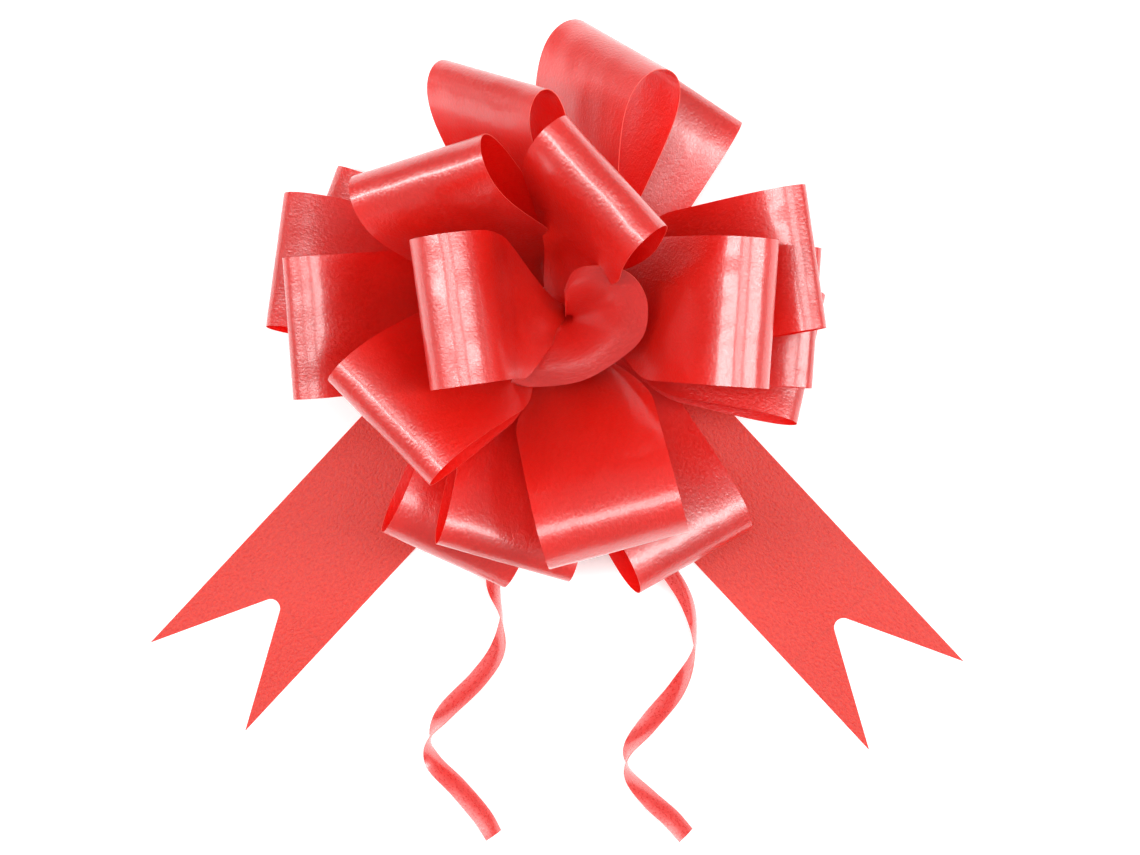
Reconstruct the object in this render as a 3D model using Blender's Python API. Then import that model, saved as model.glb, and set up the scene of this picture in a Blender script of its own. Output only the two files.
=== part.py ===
"""A ribbon pull bow, lying on its base with the axis of its strings upright.

Two wide satin ribbons lie one on the other and are heat sealed at narrow, notched necks round two
pull strings. Pulled up along the strings, the necks stack on one another as small sleeves, and each
length of ribbon between two seals stands out as a loop. The ribbons' long ends make two swallowtail
tails, and the short end past the last seal makes a flap over the middle.

The origin is on the table, under the middle of the bow's box without its free strings. +Z is up,
and the tails and the strings lie towards -Y. Sizes are in metres and angles in degrees.
"""

import math

import bmesh
import bpy
from mathutils import Euler, Matrix, Vector

MM = 0.001

# The wide ribbon
RIBBON_WIDTH = 30 * MM
RIBBON_THICKNESS = 0.3 * MM
NECK_WIDTH = 6.5 * MM  # of ribbon left between the two side notches
NOTCH_LENGTH = 1.2 * RIBBON_WIDTH  # from the neck to full width, cut at one slope in any ribbon
LOOP_LENGTH = 124 * MM  # of ribbon between one seal and the next
TWIST_LENGTH = 18 * MM  # from the neck to where the ribbon has turned to its loop's roll
STRAND_GAP = 1 * MM  # between the middles of a loop's two strands, at its neck
LOOP_STEPS = 26  # flat faces along one loop
GAP = 0.3 * MM  # between pieces that touch
STACK_FOOT = (-3.3 * MM, 19.4 * MM)  # where the stack's axis meets the table

# The pull strings: narrow ribbon, gathered into a cord where it runs up through the seals
STRING_WIDTH = 5 * MM
STRING_RUN_DIAMETER = 2.4 * MM
STRING_SPACING = STRING_RUN_DIAMETER + GAP  # between the middles of the two runs
ROUTE_STEP = 11 * MM  # between the points read from a free string's smooth curve
RUN_STEP = 6 * MM  # and from a run's
RUN_BEND = (-0.8 * MM, 2.4 * MM)  # y and height over its end of a run, half way down to the table
RUN_LANDING = -2.9 * MM  # y where a run meets the table

# The heat seals, gathered into sleeves on the strings
TIERS = 9
SEAL_BORE = STRING_SPACING + STRING_RUN_DIAMETER + 2 * GAP
SEAL_DIAMETER = SEAL_BORE + 3.3 * MM
SEAL_HEIGHT = 2.3 * MM
SEAL_PITCH = SEAL_HEIGHT + GAP
SEAL_SIDES = 24
BASE_HEIGHT = 8 * MM  # of the lowest seal's underside over the table
LEAN = 8  # of the stack, towards +X

# The tails, which lie on the table
TAIL_DROP = 20 * MM  # from the neck to where the tail meets the table
TAIL_STEPS = 12  # flat faces between the neck and the swallowtail
SWALLOW_DEPTH = 27 * MM  # of the cut between the tips
SWALLOW_RADIUS = 2.2 * MM  # of the round at the bottom of the cut
SWALLOW_SIDES = 8  # flat faces round it
CUT_PAST = 6 * MM  # how far the cut runs on past the tips, over and under the ribbon
# Each tail's name, the azimuth it points to and its length from the stack's axis to its tips
TAILS = (("tail_left", 227, 119 * MM), ("tail_right", 313, 125 * MM))

# The end flap's middle line, in millimetres from the middle of the top seal's upper face
FLAP_ROUTE = (
    (0, 0, 0.5), (0, -1.2, 5), (0.4, -3.5, 9.5), (1, -6.5, 13), (1.4, -9.5, 15.5),
    (1.6, -11.5, 16.5),
)
FLAP_GATHER = 0.85  # of the ribbon's width that the flap's curl leaves
FLAP_STEP = 3 * MM  # between its flat faces

# Each free string's way over the table, in millimetres, from its run's lower end to its free end
STRING_ROUTES = (
    ("pull_string_left", -1, (
        (-2.8, -5.9), (-1.4, -19), (-4.8, -40), (-11.2, -60), (-9.8, -70), (-10.4, -78), (-15, -85),
        (-22.5, -92.5), (-26.2, -98.5), (-25.2, -104), (-19.5, -110), (-14, -116.5), (-11.3, -121),
    )),
    ("pull_string_right", 1, (
        (3.6, -5.9), (5.2, -22), (13.4, -40), (27.5, -58), (33.5, -68), (34.8, -78), (31, -87),
        (24.5, -95), (19.5, -101.5), (19.8, -107), (24.5, -112.5), (29.5, -117), (33, -121),
    )),
)

# Each loop: its name, its tier from the bottom, the azimuth and elevation that it points to, its
# ribbon's roll about that direction, how far its two strands stand apart, in percent of its
# length, and the share of LOOP_LENGTH that its own sideways curl leaves
LOOPS = (
    ("loop_front_left", 8, 188, 63, 0, 11, 1),
    ("loop_front_right", 8, 353, 59, 4, 10.5, 1),
    ("loop_crown", 7, 80, 74, -43, 9, 0.98),
    ("loop_front_middle", 7, 278, 40, 12, 10.5, 1),
    ("loop_lower_left", 6, 213, 41, 16, 9.5, 1),
    ("loop_upper_right", 6, 10, 43, -3, 7, 1),
    ("loop_upper_left", 5, 145, 50, -42, 9, 1),
    ("loop_side_right", 5, 356, 30, 0, 7.5, 0.92),
    ("loop_back_left", 4, 113, 36, -56, 8.5, 0.94),
    ("loop_hem_front", 4, 256, 23, 9, 8, 0.96),
    ("loop_back_middle", 3, 79, 26, -54, 12, 1),
    ("loop_side_left", 3, 186, 23, -4, 8, 1),
    ("loop_hem_left", 2, 246, 8, 5, 10, 0.98),
    ("loop_foot_right", 2, 348, 17, -10, 8, 0.92),
    ("loop_rear_left", 1, 171, 9, 8, 7.5, 0.98),
    ("loop_lower_right", 1, 299, 9, -10, 9.5, 1.04),
    ("loop_foot_left", 0, 160, -15, 0, 7.5, 0.88),
    ("loop_back_right", 0, 60, 1, 4, 7.5, 0.98),
)


# Helpers


def clear_scene():
    for obj in list(bpy.data.objects):
        bpy.data.objects.remove(obj)


def material(name, colour, roughness):
    made = bpy.data.materials.new(name)
    made.use_nodes = True
    shader = made.node_tree.nodes["Principled BSDF"]
    shader.inputs["Base Color"].default_value = (*colour, 1)
    shader.inputs["Roughness"].default_value = roughness
    shader.inputs["Metallic"].default_value = 0
    return made


def add_object(name, mesh, parent, location, rotation, look):
    obj = bpy.data.objects.new(name, mesh)
    bpy.context.scene.collection.objects.link(obj)
    obj.parent = parent
    obj.location = location
    obj.rotation_euler = Euler([math.radians(angle) for angle in rotation])
    if look:
        obj.data.materials.append(look)
    return obj


def add_empty(name, parent=None, location=(0, 0, 0), rotation=(0, 0, 0)):
    return add_object(name, None, parent, location, rotation, None)


def ease(share):
    """0 to 1, slow at both ends."""
    share = min(max(share, 0), 1)
    return share * share * (3 - 2 * share)


def seal_height(number):
    """The height of the middle of a seal, counted from the lowest."""
    return BASE_HEIGHT + SEAL_HEIGHT / 2 + number * SEAL_PITCH


def smooth_points(points, step):
    """Points about every step along the smooth curve through the given ones (Catmull-Rom)."""
    points = [Vector(p) for p in points]
    ends = [2 * points[0] - points[1]] + points + [2 * points[-1] - points[-2]]
    found = []
    for before, start, end, after in zip(ends, ends[1:], ends[2:], ends[3:]):
        count = max(1, round((end - start).length / step))
        for i in range(count):
            t = i / count
            found.append(
                0.5 * (2 * start + (end - before) * t
                       + (2 * before - 5 * start + 4 * end - after) * t**2
                       + (3 * start - before - 3 * end + after) * t**3)
            )
    return found + [points[-1]]


# The ribbon


def ribbon_half_width(along):
    """Half the ribbon's width at a distance from its neck, round the side notch."""
    return (NECK_WIDTH + (RIBBON_WIDTH - NECK_WIDTH) * ease(along / NOTCH_LENGTH)) / 2


def ribbon_mesh(name, rows):
    """A sheet through rows of (one edge, the other edge)."""
    mesh = bpy.data.meshes.new(name)
    points = [tuple(point) for row in rows for point in row]
    faces = [(2 * i, 2 * i + 1, 2 * i + 3, 2 * i + 2) for i in range(len(rows) - 1)]
    mesh.from_pydata(points, [], faces)
    mesh.shade_smooth()
    return mesh


def thicken(obj):
    thickness = obj.modifiers.new("thickness", "SOLIDIFY")
    thickness.thickness = RIBBON_THICKNESS
    thickness.offset = 0


# The loops


def teardrop(bulge, length):
    """A loop seen along its ribbon's width, as (distance out, height over its middle line), from
    the lower strand's end round the crest to the upper strand's, with that length of ribbon."""
    turns = [2 * math.pi * i / LOOP_STEPS for i in range(LOOP_STEPS + 1)]
    sides = [-math.sin(turn) * math.sin(turn / 2) ** 2 for turn in turns]
    short, long = 0, length
    while long - short > 1e-7:
        reach = (short + long) / 2
        points = [
            Vector((reach * (1 - math.cos(turn)) / 2, bulge / 2 * side / max(sides)))
            for turn, side in zip(turns, sides)
        ]
        if sum((b - a).length for a, b in zip(points, points[1:])) < length:
            short = reach
        else:
            long = reach
    return points


def loop_rows(elevation, roll, bulge, share):
    """The loop's two edges, from its neck: +X is the way out, +Y across and +Z up."""
    tilt = Matrix.Rotation(-math.radians(elevation), 3, "Y")
    rolled = tilt @ Matrix.Rotation(math.radians(roll), 3, "X")
    length = LOOP_LENGTH * share
    points = teardrop(bulge / 100 * length, length)
    gone = [0]
    for a, b in zip(points, points[1:]):
        gone.append(gone[-1] + (b - a).length)
    rows = []
    for i, (out, height) in enumerate(points):
        along = min(gone[i], gone[-1] - gone[i])
        turned = ease(along / TWIST_LENGTH)
        strand = -1 if 2 * i < LOOP_STEPS else 1
        centre = tilt @ Vector((out, 0, 0)) + rolled @ Vector((0, 0, height))
        centre.z += strand * STRAND_GAP / 2 * (1 - turned)
        across = Vector((0, 1, 0)).lerp(rolled @ Vector((0, 1, 0)), turned).normalized()
        half = across * ribbon_half_width(along)
        rows.append((centre - half, centre + half))
    return rows


def add_loop(tier_empty, look, name, azimuth, elevation, roll, bulge, share):
    mesh = ribbon_mesh(name, loop_rows(elevation, roll, bulge, share))
    neck = Matrix.Rotation(math.radians(azimuth), 3, "Z") @ Vector((SEAL_DIAMETER / 2 + GAP, 0, 0))
    neck.z = SEAL_PITCH / 2
    thicken(add_object(name, mesh, tier_empty, neck, (0, 0, azimuth), look))


# The seals


def seal_mesh(name, bore):
    mesh = bpy.data.meshes.new(name)
    shape = bmesh.new()
    outer = bmesh.ops.create_circle(shape, radius=SEAL_DIAMETER / 2, segments=SEAL_SIDES)["verts"]
    if bore:
        inner = bmesh.ops.create_circle(shape, radius=bore / 2, segments=SEAL_SIDES)["verts"]
        bmesh.ops.bridge_loops(shape, edges=shape.edges[:])
    else:
        bmesh.ops.contextual_create(shape, geom=outer)
    made = bmesh.ops.extrude_face_region(shape, geom=shape.faces[:])["geom"]
    top = [v for v in made if isinstance(v, bmesh.types.BMVert)]
    bmesh.ops.translate(shape, verts=top, vec=(0, 0, SEAL_HEIGHT))
    bmesh.ops.translate(shape, verts=shape.verts[:], vec=(0, 0, -SEAL_HEIGHT / 2))
    bmesh.ops.recalc_face_normals(shape, faces=shape.faces[:])
    shape.to_mesh(mesh)
    shape.free()
    return mesh


# The tails and the end flap


def tail_rows(length):
    """A tail from its neck to past its tips: +X is the way out."""
    drop = seal_height(0) - RIBBON_THICKNESS / 2
    reach = length - SWALLOW_DEPTH
    stations = [reach * (i / TAIL_STEPS) ** 1.6 for i in range(TAIL_STEPS + 1)]
    rows = []
    for out in stations + [length + CUT_PAST / 2]:
        height = -drop * ease(out / TAIL_DROP)
        half = ribbon_half_width(out)
        rows.append((Vector((out, -half, height)), Vector((out, half, height))))
    return rows


def swallow_outline(length):
    """A wedge between the tips, with a round nose towards the stack."""
    nose = length - SWALLOW_DEPTH + SWALLOW_RADIUS
    tip = Vector((length - nose, RIBBON_WIDTH / 2))
    first = math.atan2(tip.y, tip.x) + math.acos(SWALLOW_RADIUS / tip.length)
    arc = 2 * (math.pi - first)
    turns = [first + arc * i / SWALLOW_SIDES for i in range(SWALLOW_SIDES + 1)]
    rounded = [Vector((math.cos(turn), math.sin(turn))) * SWALLOW_RADIUS for turn in turns]
    slope = (tip.y - rounded[0].y) / (tip.x - rounded[0].x)
    mouth = Vector((tip.x + CUT_PAST, tip.y + CUT_PAST * slope))
    outline = [mouth] + rounded + [Vector((mouth.x, -mouth.y))]
    return [(nose + point.x, point.y) for point in outline]


def swallow_cutter(tail, length):
    shape = bmesh.new()
    low = -seal_height(0) - CUT_PAST
    corners = [shape.verts.new((x, y, low)) for x, y in swallow_outline(length)]
    made = bmesh.ops.extrude_face_region(shape, geom=[shape.faces.new(corners)])["geom"]
    top = [v for v in made if isinstance(v, bmesh.types.BMVert)]
    bmesh.ops.translate(shape, verts=top, vec=(0, 0, 2 * CUT_PAST))
    bmesh.ops.recalc_face_normals(shape, faces=shape.faces[:])
    mesh = bpy.data.meshes.new("swallow_cutter")
    shape.to_mesh(mesh)
    shape.free()
    cutter = add_object("swallow_cutter", mesh, tail, (0, 0, 0), (0, 0, 0), None)
    cutter.hide_render = True
    cutter.display_type = "WIRE"
    return cutter


def add_tail(foot, look, name, azimuth, length):
    """Its own length is less than the whole one by the part inside the neck."""
    inside = SEAL_DIAMETER / 2 + 2 * GAP
    mesh = ribbon_mesh(name, tail_rows(length - inside))
    neck = Matrix.Rotation(math.radians(azimuth), 3, "Z") @ Vector((inside, 0, 0))
    tail = add_object(name, mesh, foot, neck, (0, 0, azimuth), look)
    thicken(tail)
    cut = tail.modifiers.new("swallowtail", "BOOLEAN")
    cut.operation = "DIFFERENCE"
    cut.object = swallow_cutter(tail, length - inside)


def add_end_flap(top_face, look):
    """The ribbons' short end, which rises from the top seal and opens towards the front."""
    middle = smooth_points([Vector(point) * MM for point in FLAP_ROUTE], FLAP_STEP)
    rows = []
    gone = 0
    for i, point in enumerate(middle):
        before = middle[max(i - 1, 0)]
        ahead = middle[min(i + 1, len(middle) - 1)] - before
        gone += (point - before).length
        across = ahead.cross(Vector((0, 0, 1))).normalized()
        half = across * ribbon_half_width(gone) * FLAP_GATHER
        rows.append((point - half, point + half))
    mesh = ribbon_mesh("end_flap", rows)
    thicken(add_object("end_flap", mesh, top_face, (0, 0, 0), (0, 0, 0), look))


# The strings


def add_tube(bow, name, points, diameter, look):
    curve = bpy.data.curves.new(name, "CURVE")
    curve.dimensions = "3D"
    curve.bevel_depth = diameter / 2
    curve.bevel_resolution = 2
    curve.use_fill_caps = True
    spline = curve.splines.new("POLY")
    spline.points.add(len(points) - 1)
    for made, point in zip(spline.points, points):
        made.co = (*point, 1)
    add_object(name, curve, bow, (0, 0, 0), (0, 0, 0), look)


def add_string(bow, stack_turn, look, name, side, route):
    """The free string on the table, and its run up through the seals."""
    height = STRING_WIDTH / 2 + GAP
    route = [Vector((x * MM, y * MM, height)) for x, y in route]
    add_tube(bow, name, smooth_points(route, ROUTE_STEP), STRING_WIDTH, look)
    beside = side * STRING_SPACING / 2
    top = seal_height(TIERS) - SEAL_HEIGHT / 2 - GAP
    run = [stack_turn @ Vector((beside, 0, top)), stack_turn @ Vector((beside, 0, BASE_HEIGHT))]
    on_table = STRING_RUN_DIAMETER / 2
    bend_y, bend_rise = RUN_BEND
    run.append(Vector((run[-1].x, bend_y, on_table + bend_rise)))
    run.append(Vector((route[0].x, RUN_LANDING, on_table)))
    run.append(Vector((route[0].x, route[0].y + GAP, on_table)))
    add_tube(bow, name + "_run", smooth_points(run, RUN_STEP), STRING_RUN_DIAMETER, look)


def main():
    clear_scene()
    satin = material("red satin ribbon", (0.72, 0.03, 0.02), 0.35)
    matt = material("coral ribbon back", (0.78, 0.09, 0.07), 0.6)
    weld = material("heat sealed ribbon", (0.6, 0.02, 0.015), 0.5)
    narrow = material("narrow curling ribbon", (0.75, 0.1, 0.08), 0.4)
    bow = add_empty("bow", location=(*STACK_FOOT, 0))
    stack = add_empty("stack", bow, rotation=(0, LEAN, 0))
    stack_turn = Matrix.Rotation(math.radians(LEAN), 3, "Y")
    tiers = [add_empty(f"tier_{n}", stack, (0, 0, seal_height(n))) for n in range(TIERS + 1)]
    for number, tier in enumerate(tiers[:-1], 1):
        name = f"neck_seal_{number}"
        add_object(name, seal_mesh(name, SEAL_BORE), tier, (0, 0, 0), (0, 0, 0), weld)
    add_object("top_seal", seal_mesh("top_seal", 0), tiers[-1], (0, 0, 0), (0, 0, 0), weld)
    for name, tier, *pose in LOOPS:
        add_loop(tiers[tier], satin, name, *pose)
    top_face = add_empty("top_face", tiers[-1], (0, 0, SEAL_HEIGHT / 2))
    add_end_flap(top_face, matt)
    under_stack = stack_turn @ Vector((0, 0, seal_height(0)))
    foot = add_empty("foot", bow, (under_stack.x, 0, seal_height(0)))
    for tail in TAILS:
        add_tail(foot, matt, *tail)
    for string in STRING_ROUTES:
        add_string(bow, stack_turn, narrow, *string)


main()
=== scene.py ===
# %% [markdown]
# # A ribbon pull bow
# A pull bow is made flat: two long satin ribbons lie one on the other and are heat sealed at narrow
# necks round two pull strings. Pulling the strings stacks the necks, and every length of ribbon
# between two seals stands up as a loop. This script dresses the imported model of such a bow: it
# keeps the model's joints, and remakes each ribbon as a fine, curved sheet near its packed place.

# %% Load the frame
import math

import bpy
from mathutils import Matrix, Vector


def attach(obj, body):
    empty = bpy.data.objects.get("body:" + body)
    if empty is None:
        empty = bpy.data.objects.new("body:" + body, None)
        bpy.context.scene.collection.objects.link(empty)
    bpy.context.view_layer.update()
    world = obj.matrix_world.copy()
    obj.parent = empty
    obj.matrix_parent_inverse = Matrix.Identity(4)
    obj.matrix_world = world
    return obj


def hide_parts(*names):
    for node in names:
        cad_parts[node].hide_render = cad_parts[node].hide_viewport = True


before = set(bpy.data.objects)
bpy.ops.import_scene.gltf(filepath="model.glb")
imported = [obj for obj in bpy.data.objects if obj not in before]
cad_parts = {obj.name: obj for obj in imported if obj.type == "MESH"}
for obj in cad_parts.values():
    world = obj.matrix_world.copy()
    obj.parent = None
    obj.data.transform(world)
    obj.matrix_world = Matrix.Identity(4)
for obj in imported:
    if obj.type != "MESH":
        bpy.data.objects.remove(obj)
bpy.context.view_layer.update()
bpy.ops.object.select_all(action="DESELECT")

# %% [markdown]
# ## The driving sizes
# Everything on this bow follows the ribbon: its width, the notch that narrows it at each seal, and
# the length of ribbon between two seals. The stack of seals leans a little to the right.

# %% Sizes
MM = 0.001
RIBBON_WIDTH = 30 * MM
RIBBON_THICKNESS = 0.16 * MM
NECK_WIDTH = 6.5 * MM
NOTCH_LENGTH = 0.95 * RIBBON_WIDTH
LOOP_LENGTH = 124 * MM
TWIST_LENGTH = 18 * MM
STRAND_GAP = 1 * MM
SEAL_RADIUS = 4.5 * MM
SEAL_HEIGHT = 2.3 * MM
SEAL_PITCH = 2.6 * MM
BASE_HEIGHT = 8 * MM
GAP = 0.3 * MM
STACK_FOOT = Vector((-3.3 * MM, 19.4 * MM, 0))
LEAN = Matrix.Rotation(math.radians(8), 3, "Y")


def seal_height(number):
    """The height of the middle of a seal, counted from the lowest."""
    return BASE_HEIGHT + SEAL_HEIGHT / 2 + number * SEAL_PITCH


def on_stack(point):
    """A point given from the foot of the leaning stack, in the row's frame."""
    return LEAN @ Vector(point) + STACK_FOOT


print("ribbon", RIBBON_WIDTH, "m wide, loops of", LOOP_LENGTH, "m")

# %% [markdown]
# ## The camera
# The bow lies on its base on a table and is seen from straight above, from a little over half a
# metre. A camera with no rotation looks down its own -Z, so it only has to be put in its place.

# %% Camera
CAMERA_HEIGHT = 550 * MM
CAMERA_LENS = 75
SENSOR_WIDTH = 36
camera_data = bpy.data.cameras.new("overhead_camera")
camera_data.sensor_width = SENSOR_WIDTH
camera_data.lens = CAMERA_LENS
camera = bpy.data.objects.new("overhead_camera", camera_data)
bpy.context.scene.collection.objects.link(camera)
camera.location = (3 * MM, -7.6 * MM, CAMERA_HEIGHT)
bpy.context.scene.camera = camera
print("camera", tuple(camera.location), "lens", camera_data.lens)

# %% [markdown]
# ## Helpers for colour and nodes
# A colour picked on a screen is in sRGB, and a shader works in linear light, so one function turns
# the first into the second. Another adds a node with its settings and joins up its inputs.


# %% Colour and node helpers
def linear(hex_colour):
    """An sRGB hex value such as "#c02018" as a linear colour with alpha."""
    found = []
    for at in (1, 3, 5):
        value = int(hex_colour[at:at + 2], 16) / 255
        found.append(value / 12.92 if value <= 0.04045 else ((value + 0.055) / 1.055) ** 2.4)
    return (*found, 1)


def add_node(tree, kind, inputs=(), **settings):
    """A new node: settings are its own, and inputs pairs each socket with a value or an output."""
    made = tree.nodes.new(kind)
    for name, value in settings.items():
        setattr(made, name, value)
    for socket, value in dict(inputs).items():
        if isinstance(value, bpy.types.NodeSocket):
            tree.links.new(value, made.inputs[socket])
        else:
            made.inputs[socket].default_value = value
    return made


def new_material(name):
    """A material with its node tree and its Principled shader."""
    made = bpy.data.materials.new(name)
    made.use_nodes = True
    return made, made.node_tree, made.node_tree.nodes["Principled BSDF"]


print("a mid red in linear light:", [round(c, 3) for c in linear("#dc2c20")])

# %% [markdown]
# ## Satin polypropylene ribbon
# The ribbon is a thin film of coloured polypropylene, embossed with a fine grain while it is
# warm. It is a saturated red that glows where light goes from one loop to the next, and its
# shine breaks up into short bright specks. The real grain is taken to be about 0.2 mm wide, and is
# drawn at 0.7 to 0.9 mm here so that it shows. The pattern follows the ribbon, so it reads the
# ribbon's own UV map, which is in metres. Polypropylene has an IOR of 1.49, and the embossed film is
# given a little more, because its small facets shine more than a smooth film does.


# %% The ribbon materials
GRAIN_PER_METRE = (1100.0, 1500.0, 1.0)  # flecks 0.9 mm long and 0.7 mm wide
WAVES_PER_METRE = (60.0, 110.0, 1.0)  # soft waves 17 mm long and 9 mm wide
FLECK_EDGES = (0.35, 0.65)  # the noise between these makes the flecks
GLOSSIER, DULLER = -0.06, 0.08  # how far the flecks move the roughness
FILM_IOR = 1.6
SKIN_ROUGHNESS = 0.16
GLOW_REACH = 1.5 * MM
GLOW_COLOURS = (1.0, 0.08, 0.05)  # red light goes far in red film, green and blue hardly
RIM_ROUGHNESS = 0.45
POLYPROPYLENE_IOR = 1.49


def ribbon_material(name, low, high, roughness, grain, bend, shine, gloss, glow):
    """An embossed film: two colours in fine flecks, a fine grain and the slow waves of a bent
    sheet. grain and bend are how far each pushes the normal, shine is the film's own specular
    level, gloss the share of the smooth skin over the grain, and glow how much light goes on
    inside the film."""
    made, tree, shader = new_material(name)
    uv = add_node(tree, "ShaderNodeUVMap", uv_map="ribbon").outputs["UV"]
    fine = add_node(tree, "ShaderNodeMapping", {"Vector": uv, "Scale": GRAIN_PER_METRE})
    speck = add_node(
        tree, "ShaderNodeTexNoise",
        {"Vector": fine.outputs[0], "Scale": 1.0, "Detail": 2.0, "Roughness": 0.7},
    )
    low_edge, high_edge = FLECK_EDGES
    fleck = add_node(
        tree, "ShaderNodeMapRange", {"Value": speck.outputs["Fac"], 1: low_edge, 2: high_edge},
    )
    colour = add_node(tree, "ShaderNodeMix", {0: fleck.outputs[0]}, data_type="RGBA")
    colour.inputs[6].default_value = linear(low)
    colour.inputs[7].default_value = linear(high)
    tree.links.new(colour.outputs[2], shader.inputs["Base Color"])
    dull = add_node(
        tree, "ShaderNodeMapRange",
        {"Value": fleck.outputs[0], 3: roughness + GLOSSIER, 4: roughness + DULLER},
    )
    tree.links.new(dull.outputs[0], shader.inputs["Roughness"])
    wide = add_node(tree, "ShaderNodeMapping", {"Vector": uv, "Scale": WAVES_PER_METRE})
    wave = add_node(
        tree, "ShaderNodeTexNoise", {"Vector": wide.outputs[0], "Scale": 1.0, "Detail": 1.0},
    )
    slow = add_node(
        tree, "ShaderNodeBump",
        {"Height": wave.outputs["Fac"], "Strength": 1.0, "Distance": bend},
    )
    bumped = add_node(
        tree, "ShaderNodeBump",
        {"Height": speck.outputs["Fac"], "Strength": 1.0, "Distance": grain,
         "Normal": slow.outputs[0]},
    )
    tree.links.new(bumped.outputs[0], shader.inputs["Normal"])
    shader.inputs["IOR"].default_value = FILM_IOR
    shader.inputs["Specular IOR Level"].default_value = shine
    shader.inputs["Metallic"].default_value = 0
    tree.links.new(slow.outputs[0], shader.inputs["Coat Normal"])
    shader.inputs["Coat Weight"].default_value = gloss
    shader.inputs["Coat Roughness"].default_value = SKIN_ROUGHNESS
    shader.inputs["Subsurface Weight"].default_value = glow
    shader.inputs["Subsurface Radius"].default_value = GLOW_COLOURS
    shader.inputs["Subsurface Scale"].default_value = GLOW_REACH
    return made


# The face is glossy and takes long bright streaks on each crest
satin = ribbon_material(
    "satin_polypropylene_ribbon", low="#d81408", high="#e2180a", roughness=0.34,
    grain=0.11 * MM, bend=0.45 * MM, shine=0.85, gloss=0.6, glow=0.8,
)
# The back is matt, paler and evenly lit
satin_back = ribbon_material(
    "matt_back_of_the_ribbon", low="#cc2014", high="#e03a2a", roughness=0.5,
    grain=0.24 * MM, bend=0.1 * MM, shine=0.4, gloss=0.0, glow=0.5,
)
# The string's film is smoother, and its gloss turns it pink where it lies flat
curling = ribbon_material(
    "narrow_curling_ribbon", low="#cc1a10", high="#d8241a", roughness=0.3,
    grain=0.03 * MM, bend=0.1 * MM, shine=1.0, gloss=1.0, glow=0.3,
)
# The cut rim is a thin line painted paler than the face, a painted highlight where the edge catches
# the light
cut_edge_painted_highlight, _, edge_shader = new_material("cut_ribbon_edge_painted_highlight")
edge_shader.inputs["Base Color"].default_value = linear("#ee5a4c")
edge_shader.inputs["Roughness"].default_value = RIM_ROUGHNESS
edge_shader.inputs["IOR"].default_value = POLYPROPYLENE_IOR
print("materials:", [m.name for m in (satin, satin_back, curling, cut_edge_painted_highlight)])

# %% [markdown]
# ## A sheet of ribbon
# Every ribbon here is a grid of points, row after row along it. One function makes the mesh from
# the rows, lays a UV map on it in metres, and gives it its thickness with Solidify. The rim that
# Solidify adds is painted paler than the face, a painted highlight along the cut edge.


# %% From rows of points to a ribbon
RIM_ANGLE = math.radians(60)  # bends under this are shaded smooth, and the cut rim stays sharp


def ribbon_mesh(name, rows, spans):
    """rows are lists of points, and spans the same grid as (along, across) in metres."""
    across = len(rows[0])
    points = [tuple(point) for row in rows for point in row]
    flat = [uv for row in spans for uv in row]
    faces = []
    for i in range(len(rows) - 1):
        for j in range(across - 1):
            first = i * across + j
            faces.append((first, first + 1, first + across + 1, first + across))
    mesh = bpy.data.meshes.new(name)
    mesh.from_pydata(points, [], faces)
    layer = mesh.uv_layers.new(name="ribbon")
    for loop in mesh.loops:
        layer.data[loop.index].uv = flat[loop.vertex_index]
    return mesh


def finish_ribbon(name, mesh, look, thickness=RIBBON_THICKNESS):
    """The mesh as an object with its thickness, its two materials and its smooth shading."""
    obj = bpy.data.objects.new(name, mesh)
    bpy.context.scene.collection.objects.link(obj)
    mesh.materials.append(look)
    mesh.materials.append(cut_edge_painted_highlight)
    solid = obj.modifiers.new("thickness", "SOLIDIFY")
    solid.thickness = thickness
    solid.offset = 0
    solid.material_offset_rim = 1
    bpy.context.view_layer.objects.active = obj
    obj.select_set(True)
    bpy.ops.object.modifier_apply(modifier="thickness")
    obj.select_set(False)
    mesh.shade_smooth()
    mesh.set_sharp_from_angle(angle=RIM_ANGLE)
    return obj


def ease(share):
    """0 to 1, slow at both ends."""
    share = min(max(share, 0), 1)
    return share * share * (3 - 2 * share)


def ribbon_half_width(along):
    """Half the ribbon's width at a distance from its neck, round the side notch."""
    return (NECK_WIDTH + (RIBBON_WIDTH - NECK_WIDTH) * ease(along / NOTCH_LENGTH)) / 2


def smooth_points(points, count):
    """A smooth curve through the points, with that many steps between each two (Catmull-Rom)."""
    points = [Vector(p) for p in points]
    ends = [2 * points[0] - points[1]] + points + [2 * points[-1] - points[-2]]
    found = []
    for before, start, end, after in zip(ends, ends[1:], ends[2:], ends[3:]):
        for i in range(count):
            t = i / count
            found.append(
                0.5 * (2 * start + (end - before) * t
                       + (2 * before - 5 * start + 4 * end - after) * t**2
                       + (3 * start - before - 3 * end + after) * t**3)
            )
    return found + [points[-1]]


print("half width at the neck and past the notch:", ribbon_half_width(0), ribbon_half_width(1))

# %% [markdown]
# ## The pull strings
# Each string is a narrow curling ribbon, 5 mm wide, whose free end lies on the table in a loose
# helix. Seen from above it goes from lying nearly flat to standing on its edge, and then shows its
# other face. It is modelled as a strip that turns about a line: a list of points along the table,
# and an angle at each of them. 90 is on edge, and past 90 is the other face.

# %% Free ends of the pull strings
STRING_WIDTH = 5 * MM
STRING_THICKNESS = 0.14 * MM
STRING_HEIGHT = STRING_WIDTH / 2 + GAP
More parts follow.
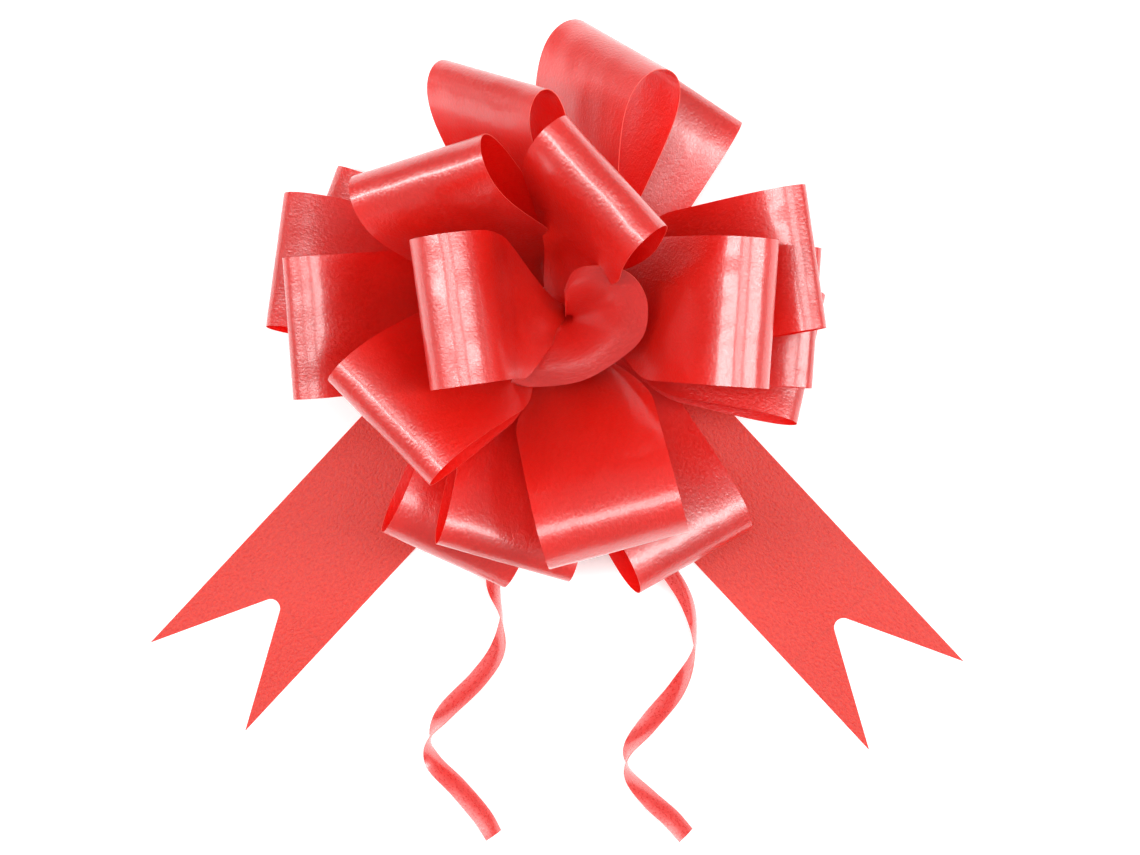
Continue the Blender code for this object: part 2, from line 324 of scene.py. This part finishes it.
# Each point: x and y in millimetres from the foot of the stack, and how far the strip is turned
STRING_ROUTES = {
    "pull_string_left": (
        (-2.8, -5.9, 60), (-1.4, -19, 60), (-4.8, -40, 50), (-11.2, -60, 46), (-9.8, -70, 88),
        (-10.4, -78, 134), (-15, -85, 146), (-22.5, -92.5, 138), (-26.2, -98.5, 90),
        (-25.2, -104, 46), (-19.5, -110, 36), (-14, -116.5, 34), (-11.3, -121, 40),
    ),
    "pull_string_right": (
        (3.6, -5.9, 60), (5.2, -22, 60), (13.4, -40, 50), (27.5, -58, 42), (33.5, -68, 52),
        (34.8, -78, 90), (31, -87, 136), (24.5, -95, 144), (19.5, -101.5, 112),
        (19.8, -107, 66), (24.5, -112.5, 40), (29.5, -117, 34), (33, -121, 34),
    ),
}
STRING_STEPS = 8
STRING_COLUMNS = 4
STRING_CUP = 0.5 * MM  # how far the strip's middle stands out, from being curled on a blade


def make_string(name, route):
    """The strip, its centre line and the line's length."""
    placed = smooth_points([(x, y, turn) for x, y, turn in route], STRING_STEPS)
    line = [Vector((p.x * MM, p.y * MM, STRING_HEIGHT)) + STACK_FOOT for p in placed]
    rows, spans, gone = [], [], 0
    for i, (centre, point) in enumerate(zip(line, placed)):
        gone += (centre - line[i - 1]).length if i else 0
        ahead = (line[min(i + 1, len(line) - 1)] - line[max(i - 1, 0)]).normalized()
        side = ahead.cross(Vector((0, 0, 1)))
        turn = math.radians(point.z)
        across = side * math.cos(turn) + Vector((0, 0, 1)) * math.sin(turn)
        cup = side * -math.sin(turn) + Vector((0, 0, 1)) * math.cos(turn)
        rows.append([])
        spans.append([])
        for j in range(STRING_COLUMNS + 1):
            off = (j / STRING_COLUMNS - 0.5) * STRING_WIDTH
            curl = STRING_CUP * (1 - (2 * off / STRING_WIDTH) ** 2)
            rows[-1].append(centre + across * off + cup * curl)
            spans[-1].append((gone, off))
    strip = finish_ribbon(name + "_ribbon", ribbon_mesh(name, rows, spans), curling,
                          STRING_THICKNESS)
    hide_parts(name)
    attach(strip, "core")
    print(name, "is", round(gone, 4), "m long")
    return strip


for string_name, string_route in STRING_ROUTES.items():
    make_string(string_name, string_route)

# %% [markdown]
# ## The loops
# A loop leaves its neck narrow, widens through the notch and swings round a wide crest back to the
# same neck. Seen along its width it is a drop. The drop's size comes from the ribbon's length, so
# its reach is found by halving until the line round it is as long as the ribbon. Each loop points
# its own way, and its ribbon rolls about that way a little, as it does where springy loops push
# one another aside. A mesh from rows of points is chosen, because a sheet keeps its own length and
# width that way.

# %% The shape of one loop
LOOP_STEPS = 84
LOOP_COLUMNS = 10
CREST_POWER = 4  # a higher power gives a rounder crest and a slimmer foot
PINCH_LENGTH = 34 * MM  # of strand that leads over to a pinch of its own


def teardrop(bulge, length):
    """A loop seen along its ribbon's width, as (distance out, height over its middle line)."""
    turns = [2 * math.pi * i / LOOP_STEPS for i in range(LOOP_STEPS + 1)]
    sides = [-math.sin(turn) * math.sin(turn / 2) ** CREST_POWER for turn in turns]
    short, long = 0, length
    while long - short > 1e-7:
        reach = (short + long) / 2
        points = [
            Vector((reach * (1 - math.cos(turn)) / 2, bulge / 2 * side / max(sides)))
            for turn, side in zip(turns, sides)
        ]
        if sum((b - a).length for a, b in zip(points, points[1:])) < length:
            short = reach
        else:
            long = reach
    return points


def loop_grid(azimuth, tier, elevation, roll, bulge, share, pinch=None, opening=1):
    """The loop's rows of points in the row's frame, and their places on the flat ribbon. The upper
    strand can end in a pinch of its own, a place given from the foot of the stack, and with an
    opening under 1 the ribbon opens out more slowly from its neck."""
    tilt = Matrix.Rotation(-math.radians(elevation), 3, "Y")
    rolled = tilt @ Matrix.Rotation(math.radians(roll), 3, "X")
    around = Matrix.Rotation(math.radians(azimuth), 3, "Z")
    neck = Vector((SEAL_RADIUS + GAP, 0, seal_height(tier) + SEAL_PITCH / 2))
    length = LOOP_LENGTH * share
    points = teardrop(bulge / 100 * length, length)
    gone = [0]
    for a, b in zip(points, points[1:]):
        gone.append(gone[-1] + (b - a).length)
    rows, spans = [], []
    for i, (out, height) in enumerate(points):
        along = min(gone[i], gone[-1] - gone[i])
        turned = ease(along / TWIST_LENGTH)
        strand = -1 if 2 * i < LOOP_STEPS else 1
        centre = tilt @ Vector((out, 0, 0)) + rolled @ Vector((0, 0, height))
        centre.z += strand * STRAND_GAP / 2 * (1 - turned)
        across = Vector((0, 1, 0)).lerp(rolled @ Vector((0, 1, 0)), turned).normalized()
        half = ribbon_half_width(along * opening)
        rows.append([])
        spans.append([])
        shift = Vector((0, 0, 0))
        if pinch and strand > 0:
            own_neck = on_stack(around @ neck) - STACK_FOOT
            shift = (Vector(pinch) * MM - own_neck) * (1 - ease(along / PINCH_LENGTH))
        for j in range(LOOP_COLUMNS + 1):
            off = (2 * j / LOOP_COLUMNS - 1) * half
            rows[-1].append(on_stack(around @ (neck + centre + across * off)) + shift)
            spans[-1].append((gone[i], off))
    return rows, spans


print("a loop reaches", round(teardrop(0.1 * LOOP_LENGTH, LOOP_LENGTH)[LOOP_STEPS // 2].x, 4), "m")

# %% [markdown]
# ## Eighteen loops
# Two loops leave every seal, one from each ribbon's side. The table gives each loop its tier, the
# azimuth and elevation it points to, its roll, how far its strands stand apart in percent of its
# length, and its length as a share of the common one, because the loops aren't all equally long.

# %% Make the loops
LOOPS = (
    ("front_left", 8, 188, 63, 0, 12, 1),
    ("front_right", 8, 353, 59, 4, 11.5, 1),
    ("crown", 7, 87, 72, -48, 9.5, 0.97),
    ("front_middle", 7, 278, 37, 12, 12.5, 1.03),
    ("lower_left", 6, 213, 41, 16, 9.5, 1),
    ("upper_right", 6, 10, 43, -3, 7, 1),
    ("upper_left", 5, 144, 49, -46, 10, 1),
    ("side_right", 5, 356, 30, 0, 7.5, 0.92),
    ("back_left", 4, 112, 36, -61, 9, 0.94),
    ("hem_front", 4, 256, 23, -6, 8, 0.96),
    ("back_middle", 3, 79, 26, -54, 12, 1),
    ("side_left", 3, 186, 23, -4, 8, 1),
    ("hem_left", 2, 246, 8, -6, 10, 0.98),
    ("foot_right", 2, 348, 17, -10, 8, 0.92),
    ("rear_left", 1, 171, 9, 8, 7.5, 0.98),
    ("lower_right", 1, 299, 9, -10, 9.5, 1.04),
    ("foot_left", 0, 160, -15, 0, 7.5, 0.88),
    ("back_right", 0, 58, 1, 2, 8, 0.93),
)
# Where the last strands are gathered over the top seal, in millimetres from the foot of the stack
PINCHES = {"front_left": (5.2, -3.6, 40), "crown": (3.6, -1.6, 38)}
# The crown is crowded at its foot, so it reaches its full width later
OPENINGS = {"crown": 0.68}


for loop_name, tier, azimuth, elevation, roll, bulge, share in LOOPS:
    rows, spans = loop_grid(azimuth, tier, elevation, roll, bulge, share,
                            PINCHES.get(loop_name), OPENINGS.get(loop_name, 1))
    node = "loop_" + loop_name
    loop = finish_ribbon("ribbon_" + loop_name, ribbon_mesh(node, rows, spans), satin)
    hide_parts(node)
    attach(loop, node)
print("loops:", len(LOOPS), "of", len(loop.data.polygons), "faces each")

# %% [markdown]
# ## The tails
# The ribbons' long ends lie on the table, back side up, and end in a swallowtail: a deep cut with
# a small round at its bottom. The tail is one grid up to the cut and two strips beside it, whose
# inner edge follows the round and then runs straight to the tip. Their shared points are welded
# before the sheet gets its thickness, so that no wall is left inside.

# %% Make the tails
TAIL_DROP = 20 * MM
SWALLOW_DEPTH = 27 * MM
SWALLOW_RADIUS = 2.2 * MM
TAIL_STEPS = 60
TAIL_COLUMNS = 12
PRONG_STEPS = 36
TAIL_WAVE = 0.5 * MM  # the lying film isn't quite flat
WAVE_ALONG, WAVE_ACROSS = 17 * MM, 9 * MM
SETTLE_LENGTH = 30 * MM  # in which the waves begin, past the drop
WELD_DISTANCE = 0.01 * MM
TAILS = (("tail_left", 227, 119 * MM), ("tail_right", 313, 125 * MM))


def cut_half_width(depth):
    """Half the width of the swallowtail's cut, at a depth from its round bottom."""
    middle = SWALLOW_RADIUS
    tip = Vector((SWALLOW_DEPTH - middle, RIBBON_WIDTH / 2))
    touch = math.atan2(tip.y, tip.x) + math.acos(SWALLOW_RADIUS / tip.length)
    leaves = Vector((math.cos(touch), math.sin(touch))) * SWALLOW_RADIUS
    if depth - middle < leaves.x:
        return math.sqrt(max(SWALLOW_RADIUS**2 - (depth - middle) ** 2, 0))
    past = (depth - middle - leaves.x) / (tip.x - leaves.x)
    return leaves.y + past * (tip.y - leaves.y)


def tail_point(out, off, top):
    """A point of a tail that falls from the neck and then lies on the table."""
    lift = TAIL_WAVE * math.sin(out / WAVE_ALONG) * math.sin(off / WAVE_ACROSS + 1) ** 2
    lies = ease((out - TAIL_DROP) / SETTLE_LENGTH)
    height = top * (1 - ease(out / TAIL_DROP)) + RIBBON_THICKNESS / 2
    return Vector((out, off, height + abs(lift) * lies))


def make_tail(name, azimuth, length):
    """The tail from its place on the lowest seal to its two tips."""
    inside = SEAL_RADIUS + 2 * GAP
    around = Matrix.Rotation(math.radians(azimuth), 3, "Z")
    foot = (LEAN @ Vector((0, 0, seal_height(0)))).x
    top = seal_height(0) - RIBBON_THICKNESS / 2
    length -= inside
    reach = length - SWALLOW_DEPTH
    points, flat, faces = [], [], []

    def add_strip(stations, edge):
        """A strip between the two edges that edge(out) gives, added to the grid so far."""
        first = len(points)
        for out in stations:
            low, high = edge(out)
            for j in range(TAIL_COLUMNS + 1):
                off = low + (high - low) * j / TAIL_COLUMNS
                spot = around @ (tail_point(out, off, top) + Vector((inside, 0, 0)))
                points.append(tuple(spot + Vector((foot, 0, 0)) + STACK_FOOT))
                flat.append((out, off))
        for i in range(len(stations) - 1):
            for j in range(TAIL_COLUMNS):
                a = first + i * (TAIL_COLUMNS + 1) + j
                faces.append((a, a + 1, a + TAIL_COLUMNS + 2, a + TAIL_COLUMNS + 1))

    body = [reach * i / TAIL_STEPS for i in range(TAIL_STEPS + 1)]
    add_strip(body, lambda out: (-ribbon_half_width(out), ribbon_half_width(out)))
    prong = [reach + SWALLOW_DEPTH * (i / PRONG_STEPS) ** 2 for i in range(PRONG_STEPS + 1)]
    half = RIBBON_WIDTH / 2
    add_strip(prong, lambda out: (-half, -cut_half_width(out - reach)))
    add_strip(prong, lambda out: (cut_half_width(out - reach), half))
    mesh = bpy.data.meshes.new(name)
    mesh.from_pydata(points, [], faces)
    layer = mesh.uv_layers.new(name="ribbon")
    for corner in mesh.loops:
        layer.data[corner.index].uv = flat[corner.vertex_index]
    tail = bpy.data.objects.new("weld", mesh)
    bpy.context.scene.collection.objects.link(tail)
    weld = tail.modifiers.new("weld", "WELD")
    weld.merge_threshold = WELD_DISTANCE
    bpy.context.view_layer.objects.active = tail
    tail.select_set(True)
    bpy.ops.object.modifier_apply(modifier="weld")
    bpy.data.objects.remove(tail)
    return finish_ribbon(name + "_ribbon", mesh, satin_back)


for tail_name, azimuth, length in TAILS:
    tail = make_tail(tail_name, azimuth, length)
    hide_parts(tail_name)
    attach(tail, tail_name)
    print(tail_name, len(tail.data.polygons), "faces")

# %% [markdown]
# ## The end flap
# Past the last seal the ribbons' short end stands over the middle of the bow. It is pinched just
# above the seal and opens like a cornet. A film bends that way in nearly straight lines from the
# pinch, so it is drawn by its free edge alone: a smooth line through a few points, with a fan of
# slightly bowed lines from the pinch to it. A short foot leads from the seal up to the pinch.

# %% Make the end flap
# The free edge from its left end round to the curl, in millimetres from the foot of the stack
FLAP_EDGE = (
    (-6.4, -17.4, 46), (-1, -18.4, 47), (8.6, -17.2, 49.5), (16, -13.2, 52.5),
    (21.3, -8.4, 56), (22.4, -2.6, 59), (21, 2, 61), (17.5, 5.2, 62.5), (12, 6.2, 62.5),
    (7.2, 5.4, 60), (5.2, 1.8, 55),
)
FLAP_PINCH = Vector((5.4, -4, 44))
FLAP_FOOT = Vector((4.8, -0.6, 35.6))
FLAP_FINE = 8
FLAP_ROWS = 24
FLAP_FOOT_ROWS = 4
FLAP_NIP = 0.1  # the pinch's width, as a share of the free edge's
FLAP_SWELL = 2.5  # how far the middle of the cornet stands out, in millimetres
FLAP_ROW_LENGTH = 0.9 * MM
FLAP_COLUMN_WIDTH = 0.4 * MM


def flap_row(edge, share, row):
    """One row of the cornet: the foot's rows climb to the pinch, and the rest open out from it."""
    found = []
    for point in edge:
        spread = (point - FLAP_PINCH) * (FLAP_NIP + (1 - FLAP_NIP) * share)
        if row < FLAP_FOOT_ROWS:
            climb = row / FLAP_FOOT_ROWS
            spread.z *= climb
            found.append(FLAP_FOOT.lerp(FLAP_PINCH, climb) + spread)
        else:
            swell = Vector((0, 0, FLAP_SWELL * math.sin(math.pi * share)))
            found.append(FLAP_PINCH + spread + swell)
    return [point * MM + STACK_FOOT for point in found]


flap_edge = smooth_points(FLAP_EDGE, FLAP_FINE)
flap_rows, flap_spans = [], []
for row in range(FLAP_FOOT_ROWS + FLAP_ROWS + 1):
    share = max(row - FLAP_FOOT_ROWS, 0) / FLAP_ROWS
    flap_rows.append(flap_row(flap_edge, share, row))
    middle = len(flap_edge) / 2
    flap_spans.append([(row * FLAP_ROW_LENGTH, (j - middle) * FLAP_COLUMN_WIDTH)
                       for j in range(len(flap_edge))])
flap = finish_ribbon("end_flap_ribbon", ribbon_mesh("end_flap", flap_rows, flap_spans), satin)
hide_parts("end_flap")
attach(flap, "end_flap")
print("end flap", len(flap.data.polygons), "faces")

# %% [markdown]
# ## The seals and the strings' runs
# Under the loops each neck is gathered round the strings and heat sealed, so it is the same film,
# pressed into small upright pleats and dulled by the heat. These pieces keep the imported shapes
# and share one material of their own, on object coordinates, because they have no UV map.


# %% Heat sealed film
PLEATS_PER_METRE = (900.0, 900.0, 90.0)  # pleats 1.1 mm wide that run up the seal
PLEAT_DEPTH = 0.5 * MM
SEALED_ROUGHNESS = 0.42  # the hot bars leave the film duller than satin


def sealed_material_with_painted_shade():
    """Red film pressed into upright pleats, with painted shade: its colour darkens where the pleats
    go down into the folds.
    """
    made, tree, shader = new_material("heat_sealed_pleats_painted_shade")
    place = add_node(tree, "ShaderNodeTexCoord").outputs["Object"]
    squash = add_node(tree, "ShaderNodeMapping", {"Vector": place, "Scale": PLEATS_PER_METRE})
    pleats = add_node(
        tree, "ShaderNodeTexNoise", {"Vector": squash.outputs[0], "Scale": 1.0, "Detail": 2.0},
    )
    # The shade in the folds is painted: the colour follows the pleats' noise and is darker where
    # they go down
    colour = add_node(tree, "ShaderNodeMix", {0: pleats.outputs["Fac"]}, data_type="RGBA")
    colour.inputs[6].default_value = linear("#b3120c")
    colour.inputs[7].default_value = linear("#e02c20")
    tree.links.new(colour.outputs[2], shader.inputs["Base Color"])
    folds = add_node(
        tree, "ShaderNodeBump",
        {"Height": pleats.outputs["Fac"], "Strength": 1.0, "Distance": PLEAT_DEPTH},
    )
    tree.links.new(folds.outputs[0], shader.inputs["Normal"])
    shader.inputs["Roughness"].default_value = SEALED_ROUGHNESS
    shader.inputs["IOR"].default_value = POLYPROPYLENE_IOR
    return made


sealed = sealed_material_with_painted_shade()
for node_name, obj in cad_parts.items():
    if node_name.endswith("_run") or "seal" in node_name:
        for slot in obj.material_slots:
            slot.material = sealed
print("dressed with the sealed film:", sealed.name)

# %% [markdown]
# ## The table
# The table is a plain white sheet, lit a little from below like a product table, so that the bow's
# shadow stays faint and the undersides of the loops get some light.

# %% Table
TABLE_SIZE = 6
TABLE_GAP = 0.05 * MM
TABLE_GLOW = 0.26
PAPER_ROUGHNESS = 0.9
PAPER_SHINE = 0.1
PAPER_GRAIN_PER_METRE = 700.0
WHITE = (1, 1, 1, 1)

bpy.ops.object.select_all(action="DESELECT")
bpy.ops.mesh.primitive_plane_add(size=TABLE_SIZE, location=(0, 0, -TABLE_GAP))
table = bpy.context.object
table.name = "table_top"
# White paper board: nearly even, quite matt
paper, paper_tree, paper_shader = new_material("white_paper_sweep")
paper_place = add_node(paper_tree, "ShaderNodeTexCoord").outputs["Object"]
mottle = add_node(
    paper_tree, "ShaderNodeTexNoise", {"Vector": paper_place, "Scale": PAPER_GRAIN_PER_METRE},
)
tone = add_node(paper_tree, "ShaderNodeMix", {0: mottle.outputs["Fac"]}, data_type="RGBA")
tone.inputs[6].default_value = linear("#fbfbfa")
tone.inputs[7].default_value = linear("#ffffff")
paper_tree.links.new(tone.outputs[2], paper_shader.inputs["Base Color"])
paper_shader.inputs["Roughness"].default_value = PAPER_ROUGHNESS
paper_shader.inputs["Specular IOR Level"].default_value = PAPER_SHINE
paper_shader.inputs["Emission Color"].default_value = WHITE
paper_shader.inputs["Emission Strength"].default_value = TABLE_GLOW
table.data.materials.append(paper)
print("table", table.name, TABLE_SIZE, "m wide")

# %% [markdown]
# ## The light
# Two long softboxes hang beside the bow, left and right of the camera, and give each crest its
# bright streaks: the left one is narrow and the right one wide, so the streaks on the left are
# sharper. A square softbox hangs overhead, and a bright room fills the rest. The view stays
# Standard, because a saturated red turns dull in a filmic view.

# %% Light
LIT_POINT = Vector((0, 0, 0.04))  # the middle of the bow
ROOM_LIGHT = 0.31


def softbox(name, place, size, radiance):
    """An area light that faces the bow. Its power comes from how bright its face is."""
    lamp = bpy.data.lights.new(name, "AREA")
    lamp.shape = "RECTANGLE"
    lamp.size, lamp.size_y = size
    lamp.energy = radiance * size[0] * size[1] * math.pi  # for an evenly bright flat face
    made = bpy.data.objects.new(name, lamp)
    bpy.context.scene.collection.objects.link(made)
    made.location = place
    aim = LIT_POINT - Vector(place)
    made.rotation_mode = "QUATERNION"
    made.rotation_quaternion = aim.to_track_quat("-Z", "Y")
    made.visible_camera = False
    return made


softbox("softbox_overhead", (0, 0.1, 1.3), (0.5, 0.5), 6.9)
softbox("softbox_left", (-0.8, 0.05, 0.95), (0.14, 1.0), 19)
softbox("softbox_right", (0.8, 0, 0.95), (0.28, 1.0), 11)
world = bpy.data.worlds.new("bright_room")
bpy.context.scene.world = world
world.use_nodes = True
room = world.node_tree.nodes["Background"]
room.inputs["Color"].default_value = WHITE
room.inputs["Strength"].default_value = ROOM_LIGHT
bpy.context.scene.view_settings.view_transform = "Standard"
